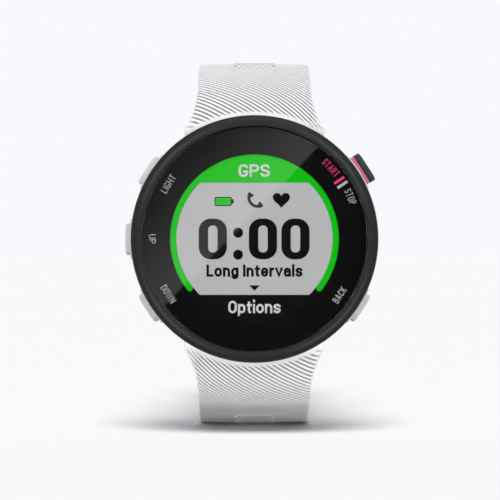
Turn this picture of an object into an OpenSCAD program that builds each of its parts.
// Round GPS running watch: five-button case with a bezel, glass and display stack,
// optical sensor back, and a two-piece silicone strap with buckle and keepers.
// The face looks along -Y, 12 o'clock is +Z, and the strap stands on Z = 0.

/* [Case] */
// Outer diameter of the bezel
case_d = 39.5; // [36:0.5:46]
// Height from the back plate to the bezel's top edge
case_t = 10.6; // [10:0.1:13]
// Height of the black bezel ring
bezel_h = 3.6; // [3.4:0.1:4.2]
// Radial width of the bezel ring, outside edge to glass
bezel_w = 1.8; // [1.4:0.1:2.6]
// Diameter of the picture area of the display
display_d = 27; // [22:0.5:30]
// Thickness of the glass
glass_t = 1.1; // [0.8:0.1:1.4]
// How far the glass sits below the bezel's top edge
glass_drop = 0.3; // [0.1:0.05:0.6]
// Thickness of the rear cover
cover_t = 1; // [0.8:0.1:1.4]
// How far the optical window stands proud of the rear cover
window_proud = 0.8; // [0.4:0.1:1.2]
// Diameter of the optical window
window_d = 15; // [12:0.5:17]

/* [Buttons] */
// Angle of the corner buttons above and below the horizontal
button_angle = 33; // [28:1:36]
// Length of a button cap around the case
button_l = 5.1; // [4:0.1:6]
// Height of a button cap, front to back
button_h = 2.3; // [1.6:0.1:2.6]
// How far a plain cap stands out past the bezel
button_proud = 1.2; // [0.9:0.1:1.8]
// How far the start and stop cap stands out past the bezel
start_proud = 2.1; // [1.5:0.05:2.4]
// Travel of every button
button_travel = 0.5; // [0.3:0.1:0.6]

/* [Strap] */
// Width of the strap behind the case
strap_w = 18.5; // [16:0.1:20]
// Width of the strap where it wraps the case
strap_root_w = 22.6; // [21.6:0.2:24]
// Thickness of the strap
strap_t = 2.2; // [1.8:0.1:2.6]
// Length of the straight end that carries the buckle
upper_end_l = 20; // [18:1:26]
// Length of the straight tail of the long strap
tail_l = 8; // [5:1:14]
// Number of size holes in the long strap
hole_count = 12; // [6:1:14]
// Spacing of the size holes
hole_pitch = 5; // [4.5:0.1:6]
// Diameter of a size hole
hole_d = 2.1; // [1.8:0.1:2.4]

/* [Hardware] */
// Diameter of the strap pins and of the buckle bar
pin_d = 1.5; // [1.2:0.1:1.8]
// Reach of the buckle frame from its bar to the cross-bar
buckle_l = 9; // [8:0.5:12]
// Length of each keeper along the strap
keeper_l = 4.4; // [3.5:0.1:5]

/* [Hidden] */
$fn = 96;

white = "whitesmoke";
black = [0.10, 0.10, 0.11];
steel = "silver";
pink = [0.85, 0.25, 0.42];

// ---- clearances ----
fit = 0.05;         // shaft in its bore
seat_gap = 0.1;     // round a piece that drops into a recess
swing_gap = 0.35;   // round a strap knuckle
strap_play = 0.15;  // keeper round the strap
eps = 0.01;

// ---- case levels, counted from the rear cover's outer face towards the viewer ----
case_r = case_d / 2;
wall_r = case_r - 0.45;              // widest part of the case body
bezel_z = case_t - bezel_h;          // joint of case body and bezel
glass_r = case_r - bezel_w - 0.05;
glass_top = case_t - glass_drop;
glass_z = glass_top - glass_t;
mask_t = 0.06;
adhesive_t = 0.08;
seat_z = glass_z - mask_t - adhesive_t;
panel_r = display_d / 2 + 1.7;
frame_r = panel_r + 1.2;
frame_floor = 0.4;
back_r = case_r - 2.75;              // recess that holds the rear cover
back_flat = 14.3;                    // half height of that recess at the strap sides
cavity_r = back_r - 1.4;
cavity_flat = back_flat - 1.4;
ledge_z = cover_t + 0.3;
boss_r = 1.6;
boss_at = (cavity_r - 1.3) * cos(45);
board_t = 0.8;
board_z = bezel_z - 2;
button_z = board_z - 0.9;

// ---- strap joints, in depth behind the bezel's top edge and height over the case centre ----
knuckle_r = pin_d / 2 + 1.85;
lug_r = pin_d / 2 + 0.95;
lug_w = 11;
root_heading = 60;
pin_depth = case_t - 3.2;
pin_height = case_r - 2.2;
pin_r = pin_d / 2;
strap_hw = strap_w / 2;
root_hw = strap_root_w / 2;
flare_r = 14;
flare_top = pin_height + 7.45;
root_lead = 2.5;

// Outer face of each strap as stretches from the strap pin: [radius, turn] for an arc and
// [0, length] for a straight. Both straps bend the same way in their own side view.
upper_run = [[0, root_lead], [15, 30], [27, 30], [19, 80], [0, upper_end_l]];
lower_run = [[0, root_lead], [16, 28], [33, 32], [34.5, 75], [60, 22], [0, tail_l]];

function along(a) = [cos(a), sin(a)];
function out_of(a) = [-sin(a), cos(a)];
root = [pin_depth, pin_height] + knuckle_r * out_of(root_heading);

// End of one stretch that starts at p with heading a: [point, heading]
function after(p, a, s) = s[0] == 0
    ? [p + s[1] * along(a), a]
    : [p - s[0] * out_of(a) + s[0] * out_of(a - s[1]), a - s[1]];
// Start of stretch i: [point, heading]
function start_of(run, i) = i == 0
    ? [root, root_heading]
    : let (q = start_of(run, i - 1)) after(q[0], q[1], run[i - 1]);
function stretch_l(s) = s[0] == 0 ? s[1] : s[0] * s[1] * PI / 180;
function run_l(run, i = 0) = i == len(run) ? 0 : stretch_l(run[i]) + run_l(run, i + 1);
// Point and heading at distance s from the root
function place_at(run, s, i = 0) =
    let (q = start_of(run, i), l = stretch_l(run[i]))
    (s <= l || i == len(run) - 1)
        ? after(q[0], q[1], run[i][0] == 0 ? [0, s] : [run[i][0], s / run[i][0] * 180 / PI])
        : place_at(run, s - l, i + 1);
upper_end = start_of(upper_run, len(upper_run));
lower_low = start_of(lower_run, 3)[0];
lower_back = start_of(lower_run, 4);

// ---- the whole watch stands on Z = 0 with its box centred on the Z axis ----
case_x = button_proud / 2;
stand_z = lower_low[1];
total_depth = lower_back[0][0] + 60 * (1 - cos(lower_back[1] + 90));
front_y = -total_depth / 2;

// Case pieces: local Z points at the viewer, local Y at 12 o'clock
module in_case() {
    translate([case_x, front_y + case_t, stand_z]) rotate([90, 0, 0]) children();
}

// Side-view pieces: local X across the strap, local Y depth, local Z height
module in_side(down = false) {
    translate([case_x, front_y, stand_z]) mirror([0, 0, down ? 1 : 0]) children();
}

// Puts a piece at a side-view place, local Y along the heading and local Z outwards
module put(q) {
    translate([0, q[0][0], q[0][1]]) rotate([q[1], 0, 0]) children();
}

module across(r, l, x = 0) {
    translate([x, 0, 0]) rotate([0, 90, 0]) cylinder(r = r, h = l, center = true);
}

module across_ring(r_out, r_in, l, x = 0) {
    difference() {
        across(r_out, l, x);
        across(r_in, l + 2, x);
    }
}

// ---------------------------------------------------------------- case shell

module back_outline(r, flat) {
    intersection() {
        circle(r = r);
        square([3 * r, 2 * flat], center = true);
    }
}

// Runs a child at each cover screw
module at_screws() {
    for (sx = [-1, 1], sy = [-1, 1]) translate([sx * boss_at, sy * boss_at, 0]) children();
}

BUTTONS = [180 - button_angle, 180, 180 + button_angle, -button_angle, button_angle];

// Radial frame of a button: local X points out of the case
module at_button(a) {
    rotate([0, 0, a]) translate([0, 0, button_z]) children();
}

pad_r = case_r + 0.45;          // white pad round each button
pocket_r = case_r - 0.55;       // floor of the pocket in the pad
cap_in = pocket_r + button_travel + seat_gap;
stem_r = 0.7;
o_ring_w = 0.26;
o_ring_seat = 1.3;
o_ring_l = 0.9;
stem_end = cavity_r - 0.45;

module bar_between(r_in, r_out, l, h) {
    intersection() {
        difference() {
            cylinder(r = r_out, h = h, center = true);
            cylinder(r = r_in, h = h + 1, center = true);
        }
        translate([(r_in + r_out) / 2, 0, 0]) cube([r_out, l, h + 1], center = true);
    }
}

module button_pads() {
    for (a = BUTTONS) at_button(a) bar_between(wall_r - 1.5, pad_r, button_l + 1.3, button_h + 1);
}

module button_pockets() {
    for (a = BUTTONS) at_button(a) {
        bar_between(pocket_r, case_r + 3, button_l + 2 * seat_gap, button_h + 2 * seat_gap);
        rotate([0, 90, 0]) cylinder(r = stem_r + fit, h = case_r);
        rotate([0, 90, 0]) cylinder(r = o_ring_seat, h = cavity_r + o_ring_l);
    }
}

module strap_recess() {
    for (m = [0, 1]) mirror([0, m, 0])
        translate([0, pin_height, case_t - pin_depth]) {
            across(knuckle_r + swing_gap, strap_root_w + 2 * swing_gap);
            translate([-root_hw - swing_gap, 0, -case_t]) cube([strap_root_w + 2 * swing_gap, case_r, 2 * case_t]);
        }
}

module lugs() {
    for (m = [0, 1]) mirror([0, m, 0]) {
        translate([0, pin_height, case_t - pin_depth]) across(lug_r, lug_w);
        translate([0, (pin_height + cavity_flat) / 2 + 0.3, case_t - pin_depth])
            cube([lug_w, pin_height - cavity_flat - 0.6, 2 * lug_r], center = true);
    }
}

module case_body() {
    color(white) in_case() difference() {
        union() {
            difference() {
                union() {
                    rotate_extrude() polygon([
                        [0, 0], [wall_r - 1.9, 0], [wall_r - 1.1, 0.5], [wall_r - 0.3, 3],
                        [wall_r, bezel_z - 1], [wall_r, bezel_z], [0, bezel_z]
                    ]);
                    button_pads();
                }
                strap_recess();
            }
            lugs();
        }
        translate([0, 0, -eps]) linear_extrude(ledge_z + eps) back_outline(back_r, back_flat);
        difference() {
            translate([0, 0, ledge_z - eps]) linear_extrude(case_t) back_outline(cavity_r, cavity_flat);
            at_screws() translate([0, 0, ledge_z]) cylinder(r = boss_r, h = board_z - ledge_z);
        }
        at_screws() translate([0, 0, -eps]) cylinder(r = 0.5 + fit / 2, h = board_z - 0.8);
        button_pockets();
        for (m = [0, 1]) mirror([0, m, 0])
            translate([0, pin_height, case_t - pin_depth]) across(pin_r + fit / 2, lug_w + 1);
    }
}

module bezel() {
    color(black) in_case() rotate_extrude() polygon([
        [frame_r + seat_gap, bezel_z], [case_r, bezel_z], [case_r, case_t - 1.3],
        [case_r - 0.25, case_t - 0.75], [case_r - 1.15, case_t], [case_r - 1.35, case_t],
        [case_r - bezel_w, glass_top - 0.05], [case_r - bezel_w, seat_z],
        [frame_r + seat_gap, seat_z]
    ]);
}

module lens() {
    color([0.6, 0.7, 0.75, 0.3]) in_case() translate([0, 0, glass_z]) rotate_extrude()
        polygon([[0, 0], [glass_r, 0], [glass_r, glass_t - 0.15], [glass_r - 0.15, glass_t], [0, glass_t]]);
}

module lens_adhesive() {
    color(black) in_case() translate([0, 0, seat_z]) difference() {
        cylinder(r = glass_r - 0.1, h = adhesive_t);
        translate([0, 0, -1]) cylinder(r = frame_r + 2 * seat_gap, h = 3);
    }
}

module dial_mask() {
    color(black) in_case() translate([0, 0, seat_z + adhesive_t]) difference() {
        cylinder(r = glass_r - 0.05, h = mask_t);
        translate([0, 0, -1]) cylinder(d = display_d, h = 3);
    }
}

// ---------------------------------------------------------------- display and electronics

module display_frame() {
    color([0.2, 0.2, 0.2]) in_case() translate([0, 0, bezel_z]) difference() {
        cylinder(r = frame_r, h = seat_z - bezel_z);
        translate([0, 0, frame_floor]) cylinder(r = panel_r + seat_gap, h = case_t);
        translate([0, -panel_r + 3, -1]) cube([9, 2, 4], center = true);
    }
}

module backlight() {
    color("white") in_case() translate([0, 0, bezel_z + frame_floor]) cylinder(r = panel_r, h = 0.5);
}

module display_panel() {
    color([0.75, 0.78, 0.75]) in_case() translate([0, 0, bezel_z + frame_floor + 0.5])
        cylinder(r = panel_r, h = seat_z - bezel_z - frame_floor - 0.5);
}

module main_board() {
    color([0.05, 0.3, 0.15]) in_case() translate([0, 0, board_z])
        linear_extrude(board_t) back_outline(stem_end - button_travel - 0.05, cavity_flat - 0.3);
}

module shield_cans() {
    color(steel) in_case() translate([0, 0, board_z + board_t]) {
        translate([-9.5, -4, 0]) cube([9, 9, 0.9]);
        translate([1, -6.5, 0]) cube([8, 7, 0.9]);
    }
}

module gps_antenna() {
    color([0.85, 0.8, 0.7]) in_case() translate([1.5, 2, board_z + board_t]) {
        cube([7, 7, 0.9]);
        translate([-1.4, 3, 0]) cube([1, 1.6, 0.5]);
    }
}

battery_z = cover_t + 1.1;
module battery() {
    color([0.75, 0.76, 0.78]) in_case() translate([-8.3, -4.3, battery_z])
        cube([16.6, 15.4, board_z - battery_z - 0.15]);
}

module vibration_motor() {
    color(steel) in_case() translate([0, -(cavity_flat - 4.2), battery_z]) {
        cylinder(r = 3.8, h = 2);
        translate([0, 0, 2]) cylinder(r = 3.2, h = 0.4);
    }
}

module button_switches() {
    color([0.25, 0.25, 0.25]) in_case() for (a = BUTTONS) at_button(a) {
        translate([stem_end - 1.7 - 0.35 - button_travel, -1.2, -0.9]) cube([1.7, 2.4, 1.8]);
        translate([stem_end - 0.35 - button_travel, 0, 0]) rotate([0, 90, 0]) cylinder(r = 0.5, h = 0.3);
    }
}

module button_o_rings() {
    color([0.15, 0.15, 0.15]) in_case() for (a = BUTTONS) at_button(a)
        translate([cavity_r + o_ring_l - 0.03 - o_ring_w, 0, 0]) rotate([0, 90, 0])
            rotate_extrude() translate([o_ring_seat - 0.05 - o_ring_w, 0]) circle(r = o_ring_w, $fn = 24);
}

// ---------------------------------------------------------------- rear cover and sensor

port_x = -(back_r - 5.4);
port_h = 8;
port_w = 2.6;
contact_pitch = 1.7;
window_seat = 0.5;

module rear_cover() {
    color(white) in_case() difference() {
        linear_extrude(cover_t) back_outline(back_r - seat_gap, back_flat - seat_gap);
        translate([0, 0, -eps]) cylinder(d = window_d + 2 * seat_gap, h = window_seat);
        translate([0, 0, -1]) cylinder(d = window_d - 3, h = 4);
        at_screws() translate([0, 0, -1]) cylinder(r = 0.6, h = 4);
        at_screws() translate([0, 0, -eps]) cylinder(r = 1.15, h = 0.55);
        translate([port_x, 0, -eps]) linear_extrude(0.5) {
            square([port_w, port_h - port_w], center = true);
            for (s = [-1, 1]) translate([0, s * (port_h - port_w) / 2]) circle(d = port_w);
        }
        for (i = [-1.5:1.5]) translate([port_x, i * contact_pitch, -1]) cylinder(r = 0.45 + fit, h = 4);
    }
}

module rear_gasket() {
    color([0.2, 0.2, 0.2]) in_case() translate([0, 0, cover_t]) linear_extrude(ledge_z - cover_t) difference() {
        back_outline(back_r - 0.3, back_flat - 0.3);
        back_outline(back_r - 0.9, back_flat - 0.9);
    }
}

module cover_screws() {
    color(steel) in_case() at_screws() difference() {
        union() {
            translate([0, 0, 0.05]) cylinder(r = 1.05, h = 0.48);
            translate([0, 0, 0.4]) cylinder(r = 0.5, h = board_z - 1.6);
        }
        translate([0, 0, -eps]) cylinder(r = 0.5, h = 0.35, $fn = 6);
    }
}

module sensor_window() {
    color(black) in_case() rotate_extrude() polygon([
        [0, -window_proud], [window_d / 2 - 3, -window_proud + 0.08],
        [window_d / 2 - 1.2, -window_proud + 0.3], [window_d / 2, 0],
        [window_d / 2, window_seat - 0.05], [0, window_seat - 0.05]
    ]);
}

module sensor_board() {
    color([0.05, 0.3, 0.15]) in_case() translate([0, 0, cover_t + 0.25]) cylinder(r = window_d / 2 - 1, h = 0.5);
}

module sensor_emitters() {
    color([0.3, 0.7, 0.35]) in_case() for (x = [-3, 0, 3])
        translate([x - 0.8, -0.9, window_seat]) cube([1.6, 1.8, cover_t + 0.25 - window_seat]);
}

module charging_contacts() {
    color("gold") in_case() for (i = [-1.5:1.5])
        translate([port_x, i * contact_pitch, 0.25]) cylinder(r = 0.45, h = cover_t + 0.5);
}

// ---------------------------------------------------------------- strap pins

head_l = 0.8;
head_out = root_hw - 0.8;
module strap_pin(down) {
    color(steel) in_side(down) translate([0, pin_depth, pin_height]) {
        across(pin_r, 2 * (head_out - head_l / 2));
        for (s = [-1, 1]) difference() {
            across(pin_r + 0.4, head_l, s * (head_out - head_l / 2));
            translate([s * head_out, 0, 0]) rotate([0, 90, 0]) cylinder(r = 0.55, h = 0.8, center = true, $fn = 6);
        }
    }
}

// ---------------------------------------------------------------- buttons

module button(a, proud) {
    in_case() at_button(a) {
        bar_between(cap_in, case_r + proud, button_l, button_h);
        button_stem();
    }
}

module button_stem() {
    difference() {
        translate([stem_end, 0, 0]) rotate([0, 90, 0]) cylinder(r = stem_r, h = cap_in - stem_end + 0.3);
        translate([stem_end + 0.1, 0, 0]) rotate([0, 90, 0]) across_slot();
    }
}

module across_slot() {
    difference() {
        cylinder(r = 2, h = 0.25);
        translate([0, 0, -1]) cylinder(r = 0.42, h = 3);
    }
}

module button_clip(a) {
    color(steel) in_case() at_button(a) translate([stem_end + 0.12, 0, 0]) rotate([0, 90, 0]) difference() {
        cylinder(r = 1.25, h = 0.21);
        translate([0, 0, -1]) cylinder(r = 0.45, h = 3);
        translate([0, -0.35, -1]) cube([3, 0.7, 3]);
    }
}

collar_r = case_r + 0.95;
module start_stop_button() {
    color(black) in_case() at_button(BUTTONS[4]) {
        difference() {
            bar_between(collar_r, case_r + start_proud, button_l, button_h);
        }
        bar_between(cap_in + 0.3, collar_r + 0.2, button_l - 1.2, button_h - 1);
        button_stem();
    }
}

module start_stop_collar() {
    color(pink) in_case() at_button(BUTTONS[4]) difference() {
        bar_between(cap_in, collar_r - eps, button_l, button_h);
        bar_between(cap_in + 0.3 - fit, case_r + 3, button_l - 1.2 + 2 * fit, button_h - 1 + 2 * fit);
        rotate([0, 90, 0]) cylinder(r = stem_r + fit, h = 2 * case_r);
    }
}

// ---------------------------------------------------------------- straps

// Half width of a strap at height h over the case centre: a hollow flare towards the case
function flared(h) = h >= flare_top
    ? strap_hw
    : min(root_hw, strap_hw + flare_r - sqrt(pow(flare_r, 2) - pow(min(flare_r, flare_top - h), 2)));
// The strap thickens from its bend down to the knuckle
function thickness(run, s) =
    let (u = max(0, 1 - s / (root_lead + stretch_l(run[1]))))
    strap_t + (2 * knuckle_r - strap_t) * pow(u, 1.3);
// Rounded end: share of the width left at share u of the tip's length
function tip_w(u) = pow(1 - pow(u, 2.4), 1 / 2.4);
// Corners of the section at distance s: outer face, then the inner one
function section(run, s, tip_l) =
    let (
        q = place_at(run, s), t = thickness(run, s), n = out_of(q[1]),
        past = s - run_l(run) + tip_l,
        near = s < run_l(run) / 3 ? q[0][1] : flare_top,
        w = flared(near) * (tip_l > 0 && past > 0 ? tip_w(0.97 * past / tip_l) : 1)
    )
    [for (c = [[edge_out - w, 0], [w - edge_out, 0], [w, -edge_out], [w, edge_in - t],
        [w - edge_in, -t], [edge_in - w, -t], [-w, edge_in - t], [-w, -edge_out]])
        [c[0], q[0][0] + c[1] * n[0], q[0][1] + c[1] * n[1]]];
function stations(run, tip_l) =
    let (plain = run_l(run) - tip_l, n = ceil(plain / station_l))
    concat([for (i = [0:n]) plain * i / n], tip_l > 0 ? [for (i = [1:10]) plain + tip_l * sin(9 * i)] : []);

edge_out = 0.6;
edge_in = 0.3;
station_l = 1.3;
tip_l = 5;

module blade(run, tip_l = 0) {
    at = stations(run, tip_l);
    last = len(at) - 1;
    polyhedron(
        [for (s = at) each section(run, s, tip_l)],
        concat(
            [[for (j = [0:7]) j], [for (j = [0:7]) 8 * last + 7 - j]],
            [for (k = [0:last - 1], j = [0:7]) [8 * k + j, 8 * (k + 1) + j, 8 * (k + 1) + (j + 1) % 8]],
            [for (k = [0:last - 1], j = [0:7]) [8 * k + j, 8 * (k + 1) + (j + 1) % 8, 8 * k + (j + 1) % 8]]
        )
    );
}

// The knuckle follows the flare of the blade, a little inside it
module knuckle() {
    intersection() {
        translate([0, pin_depth, pin_height]) across(knuckle_r + 0.06, strap_root_w);
        rotate([90, 0, 0]) linear_extrude(4 * case_r, center = true) difference() {
            translate([-root_hw, 0]) square([strap_root_w, flare_top]);
            for (s = [-1, 1]) translate([s * (strap_hw - 0.1 + flare_r), flare_top]) circle(r = flare_r);
        }
    }
}

module knuckle_slots() {
    translate([0, pin_depth, pin_height]) {
        across(pin_r + fit, strap_root_w + 2);
        across(lug_r + 0.3, lug_w + 0.4);
        translate([0, 0, -case_r / 2]) cube([lug_w + 0.4, 4 * knuckle_r, case_r], center = true);
        for (s = [-1, 1]) across(pin_r + 0.45, 4, s * (head_out - head_l - 0.15 + 2));
    }
}

bar_r = pin_r;
eye_r = bar_r + 0.95;
bar_place = [upper_end[0] - strap_t / 2 * out_of(upper_end[1]), upper_end[1]];
tongue_w = 1.9;

module upper_strap() {
    color(white) in_side() difference() {
        union() {
            blade(upper_run);
            knuckle();
            put(bar_place) across(eye_r, strap_w);
        }
        knuckle_slots();
        put(bar_place) {
            across(bar_r + fit, strap_w + 2);
            translate([0, 0.5, 0]) cube([tongue_w + 1, 7, 4 * eye_r], center = true);
        }
    }
}

hole_start = run_l(lower_run) - tail_l - (hole_count - 1) * hole_pitch + 1;
module lower_strap() {
    color(white) in_side(true) difference() {
        union() {
            blade(lower_run, tip_l);
            knuckle();
        }
        knuckle_slots();
        for (i = [0:hole_count - 1]) put(place_at(lower_run, hole_start + i * hole_pitch))
            translate([0, 0, -strap_t - 1]) cylinder(d = hole_d, h = strap_t + 2, $fn = 32);
    }
}

// ---------------------------------------------------------------- keepers and buckle

keeper_wall = 1.2;
keeper_room = strap_t + 0.4;
fixed_at = upper_end_l - 6.8;
loose_at = fixed_at - 6.7;

module rounded(w, h, r) {
    square([w - 2 * r, h], center = true);
    square([w, h - 2 * r], center = true);
    for (sx = [-1, 1], sy = [-1, 1]) translate([sx * (w / 2 - r), sy * (h / 2 - r)]) circle(r = r, $fn = 32);
}

module keeper(at, play) {
    in_w = strap_w + 2 * play;
    in_h = strap_t + play + keeper_room;
    put(after(start_of(upper_run, 4)[0], start_of(upper_run, 4)[1], [0, at]))
        translate([0, 0, (keeper_room - strap_t - play) / 2]) rotate([90, 0, 0])
            linear_extrude(keeper_l, center = true) difference() {
                rounded(in_w + 2 * keeper_wall, in_h + 2 * keeper_wall, 1.4);
                rounded(in_w, in_h, 0.2);
            }
}

module fixed_keeper() {
    color(white) in_side() keeper(fixed_at, 0.02);
}

module loose_keeper() {
    color(white) in_side() keeper(loose_at, strap_play);
}

arm_in = strap_hw + 0.25;
arm_w = 1.6;
arm_h = 2.6;
cross_r = 1.1;
module buckle_frame() {
    color(steel) in_side() put(bar_place) difference() {
        union() {
            for (s = [-1, 1]) {
                across(arm_h / 2, arm_w, s * (arm_in + arm_w / 2));
                translate([s * (arm_in + arm_w / 2), buckle_l / 2, 0]) cube([arm_w, buckle_l, arm_h], center = true);
                translate([0, buckle_l, 0]) across(arm_h / 2, arm_w, s * (arm_in + arm_w / 2));
            }
            translate([0, buckle_l, 0]) across(cross_r, 2 * arm_in + arm_w);
        }
        across(bar_r - 0.25 + fit / 2, 2 * arm_in + 1.6);
    }
}

module buckle_bar() {
    color(steel) in_side() put(bar_place) {
        across(bar_r, 2 * arm_in - 0.2);
        across(bar_r - 0.25, 2 * arm_in + 1.4);
    }
}

module buckle_tongue() {
    tongue_r = eye_r - 0.1;
    tongue_t = 0.9;
    rest = cross_r + fit;
    color(steel) in_side() put(bar_place) difference() {
        union() {
            across(tongue_r, tongue_w);
            translate([-tongue_w / 2, 0, rest]) cube([tongue_w, buckle_l + 0.6, tongue_t - 0.3]);
            translate([-tongue_w / 2, 0, 0]) cube([tongue_w, tongue_r + 0.8, rest + tongue_t - 0.3]);
            translate([0, buckle_l + 0.6, rest]) cylinder(d = tongue_w, h = tongue_t - 0.3, $fn = 32);
        }
        across(bar_r + fit, tongue_w + 1);
    }
}

// ---------------------------------------------------------------- output

case_body();
bezel();
lens();
lens_adhesive();
dial_mask();
display_panel();
backlight();
display_frame();
main_board();
shield_cans();
gps_antenna();
battery();
vibration_motor();
button_switches();
button_o_rings();
rear_cover();
rear_gasket();
cover_screws();
sensor_window();
sensor_board();
sensor_emitters();
charging_contacts();
strap_pin(false);  // upper_strap_pin
strap_pin(true);  // lower_strap_pin
color(white) button(BUTTONS[0], button_proud);  // light_button
button_clip(BUTTONS[0]);  // light_button_clip
color(white) button(BUTTONS[1], button_proud);  // up_button
button_clip(BUTTONS[1]);  // up_button_clip
color(white) button(BUTTONS[2], button_proud);  // down_button
button_clip(BUTTONS[2]);  // down_button_clip
color(white) button(BUTTONS[3], button_proud);  // back_button
button_clip(BUTTONS[3]);  // back_button_clip
start_stop_button();
start_stop_collar();
button_clip(BUTTONS[4]);  // start_stop_clip
upper_strap();
lower_strap();
fixed_keeper();
loose_keeper();
buckle_frame();
buckle_bar();
buckle_tongue();
